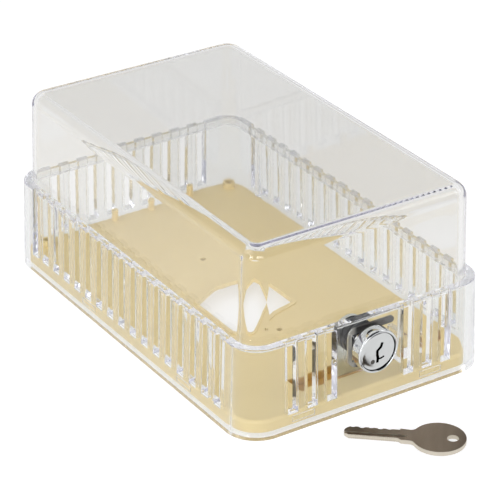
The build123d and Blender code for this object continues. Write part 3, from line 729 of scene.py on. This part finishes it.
# the catch is hollowed so that the cam's corner clears it as the cam swings round
tongue_near, tongue_far, tongue_top = 18.0, 24.5, 41.6
tongue_front, tongue_back, catch_front, catch_back = -97.5, -94.5, -95.5, -82.65
cam_reach, cam_half_width, cam_corner, clearance = 21.0, 7.5, 2.0, 0.8
catch_radius = math.hypot(cam_reach - cam_corner, cam_half_width - cam_corner)
catch_radius = catch_radius + cam_corner + clearance
catch_floor, catch_top = 2.3, 24.0
catch_low = lock_height - math.sqrt(catch_radius ** 2 - tongue_near ** 2) - catch_floor
hollow = [(x, z) for x, z in arc(0, lock_height, catch_radius, range(270, 360))
          if tongue_near < x and z < catch_top]
hollow = [(tongue_near, catch_low + catch_floor), *hollow,
          (math.sqrt(catch_radius ** 2 - (lock_height - catch_top) ** 2), catch_top)]
catch = [(tongue_near, catch_low), (tongue_far, catch_low), (tongue_far, catch_top),
         *reversed(hollow)]
tongue = [(tongue_near, catch_low), (tongue_far, catch_low), (tongue_far, tongue_top),
          (tongue_near, tongue_top)]
join_or_cut(cover, [prism("tongue", tongue, tongue_front, tongue_back, axis_height=0),
                    prism("catch", catch, catch_front, catch_back, axis_height=0)], "UNION")
round_edges(cover, lambda first, second: 0.2)
even_shading(cover)
coat(cover, clear_plastic("cover_clear", (248, 248, 247)))
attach(cover, "cover")
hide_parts("cover")

# ---- Key ------------------------------------------------------------------------------------
# The flat key that works the lock: stamped from nickel silver, cut along one edge, with a
# milled groove in each face and a hole in its round bow.
key_turn = -41
nickel = new_material("nickel_silver", Metallic=1.0)
lengthways = nickel.node("ShaderNodeMapping", values={
    "Vector": nickel.place(), "Rotation": (0, 0, math.radians(-key_turn))})
brushing = nickel.noise(0.5, detail=3, stretch=(3.0, 0.12, 1), at=lengthways)
broad = nickel.noise(7, detail=2, stretch=(1.6, 0.25, 1), at=lengthways)
wear = nickel.noise(2.5, detail=4)
# the stamped edges are lighter than the tarnished faces: partly bare cut metal, partly a painted
# highlight on the lit edge thickness
way_out = nickel.node("ShaderNodeNewGeometry", output="Normal")
facing_up = nickel.axes(way_out)[2].math("ABSOLUTE")
tarnish = nickel.mix(broad * 0.7 + brushing * 0.3, colour(124, 108, 91), colour(160, 145, 127))
nickel.set(Base_Color=nickel.mix(facing_up, colour(214, 206, 192), tarnish),
           Roughness=0.24 + brushing * 0.14 + wear * 0.06)
nickel.bump(brushing + wear * 0.4, 0.03, 0.5)

# the outline is drawn from the tip along the key's middle line: the far edge with its five
# cuts, the stem, the bow, and the near edge with its fine shallow notches
blade_far, blade_near, stem_start = 3.7, 3.1, 23.5
cut_depths, cut_half, first_cut, cut_pitch = (0.5, 0.8, 0.4, 0.7, 0.5), 0.35, 3.4, 3.9
cut_middles = [first_cut + cut_pitch * number for number in range(len(cut_depths))]
far_edge = []
for step in range(105):
    along_key = 2.4 + step * 0.2
    depth = 0
    for cut_middle, deepest in zip(cut_middles, cut_depths):
        share = 1 - (abs(along_key - cut_middle) - cut_half) / (deepest + 0.5)
        share = max(0, min(1, share))
        depth = max(depth, deepest * share * share * (3 - 2 * share))
    far_edge.append((along_key, blade_far - depth))
near_edge = [(22.6 - 0.45 * step, 0.2 * (step % 2) - blade_near) for step in range(45)]
bow_middle, bow_radius, flare_side, flare_radius = 40.4, 11.6, 6.9, 2.6
flare_x = bow_middle - math.sqrt((bow_radius + flare_radius) ** 2 - flare_side ** 2)
flare = arc(flare_x, flare_side, flare_radius, range(-90, -29, 10))
bow_start = math.degrees(math.atan2(flare_side, flare_x - bow_middle))
bow = arc(bow_middle, 0, bow_radius, [bow_start * (1 - 2 * step / 72) for step in range(73)])
tip = [(2.2, -blade_near), (1.2, -2.3), (0.35, -1.3), (0.0, -0.3), (0.1, 0.8), (0.6, 1.9),
       (1.5, 2.9)]
key_outline = [*tip, *far_edge, (stem_start, blade_far), (23.6, 4.7), *flare, *bow,
               *[(u, -v) for u, v in reversed(flare)], (24.5, -4.3), (23.3, -blade_near),
               *near_edge]


def key_solid(name, outline, low, high):
    """A flat solid on the table where the key lies, its tip to the left of the lock."""
    turn = math.radians(key_turn)
    tip_x, tip_y = -23.1, -116.1
    return solid_between(name, *[
        [Vector((tip_x + u * math.cos(turn) - v * math.sin(turn),
                 tip_y + u * math.sin(turn) + v * math.cos(turn), z)) * mm for u, v in outline]
        for z in (high, low)])


def milled(place, end=26.35, half_width=0.65):
    """The outline of a groove milled in from the tip with a round cutter."""
    return [(-1, place + half_width), (-1, place - half_width),
            *arc(end, place, half_width, range(-90, 91, 15))]


thickness, groove_depth, above, beneath = 2.0, 0.55, 3, -1
hole_middle, hole_radius = 46.2, 2.5
key = key_solid("flat_key", key_outline, 0.0, thickness)
join_or_cut(key, [key_solid("ring_hole", circle(hole_middle, 0, hole_radius, 48), beneath, above),
                  key_solid("over", milled(-1.2), thickness - groove_depth, above),
                  key_solid("under", milled(0.0), beneath, groove_depth)], "DIFFERENCE")


def key_rounding(first, second):
    """Only the edges of the two faces are rounded."""
    on_top = min(first.z, second.z) > thickness - 0.1
    return 0.16 if on_top or max(first.z, second.z) < 0.1 else 0


round_edges(key, key_rounding, steps=2)
even_shading(key)
coat(key, nickel)
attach(key, "key")
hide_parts("key")

# ---- Table ----------------------------------------------------------------------------------
# A plain white table that runs on to the backdrop.  Its top lies a hair below the foot of the
# guard and of the key, so that no two surfaces share a place.
table_half, table_top = 3, -0.0002
table_mesh = bmesh.new()
for x, y in ((-1, -1), (1, -1), (1, 1), (-1, 1)):
    table_mesh.verts.new((x * table_half, y * table_half, table_top))
table_mesh.faces.new(table_mesh.verts)
table = finished("table", table_mesh)
white = new_material("table_white", Roughness=0.9, IOR=1.3, Emission_Strength=0.72)
paper = white.noise(8, detail=2)
# looked at, it is the white background with a faint shadow, a little dimmer through the plastic
straight_at = white.ray("Camera")
looked_at = straight_at.math("MAXIMUM", white.ray("Glossy"))
looked_at = looked_at.math("MAXIMUM", white.ray("Transmission"))
glow = white.mix(straight_at, (0.83, 0.825, 0.815, 1), (1, 1, 1, 1))
lit = white.mix(paper, colour(250, 250, 250), colour(252, 252, 252))
white.set(Base_Color=white.mix(looked_at, lit, colour(176, 176, 176)),
          Emission_Color=white.mix(looked_at, (0.35, 0.35, 0.35, 1), glow))
coat(table, white)
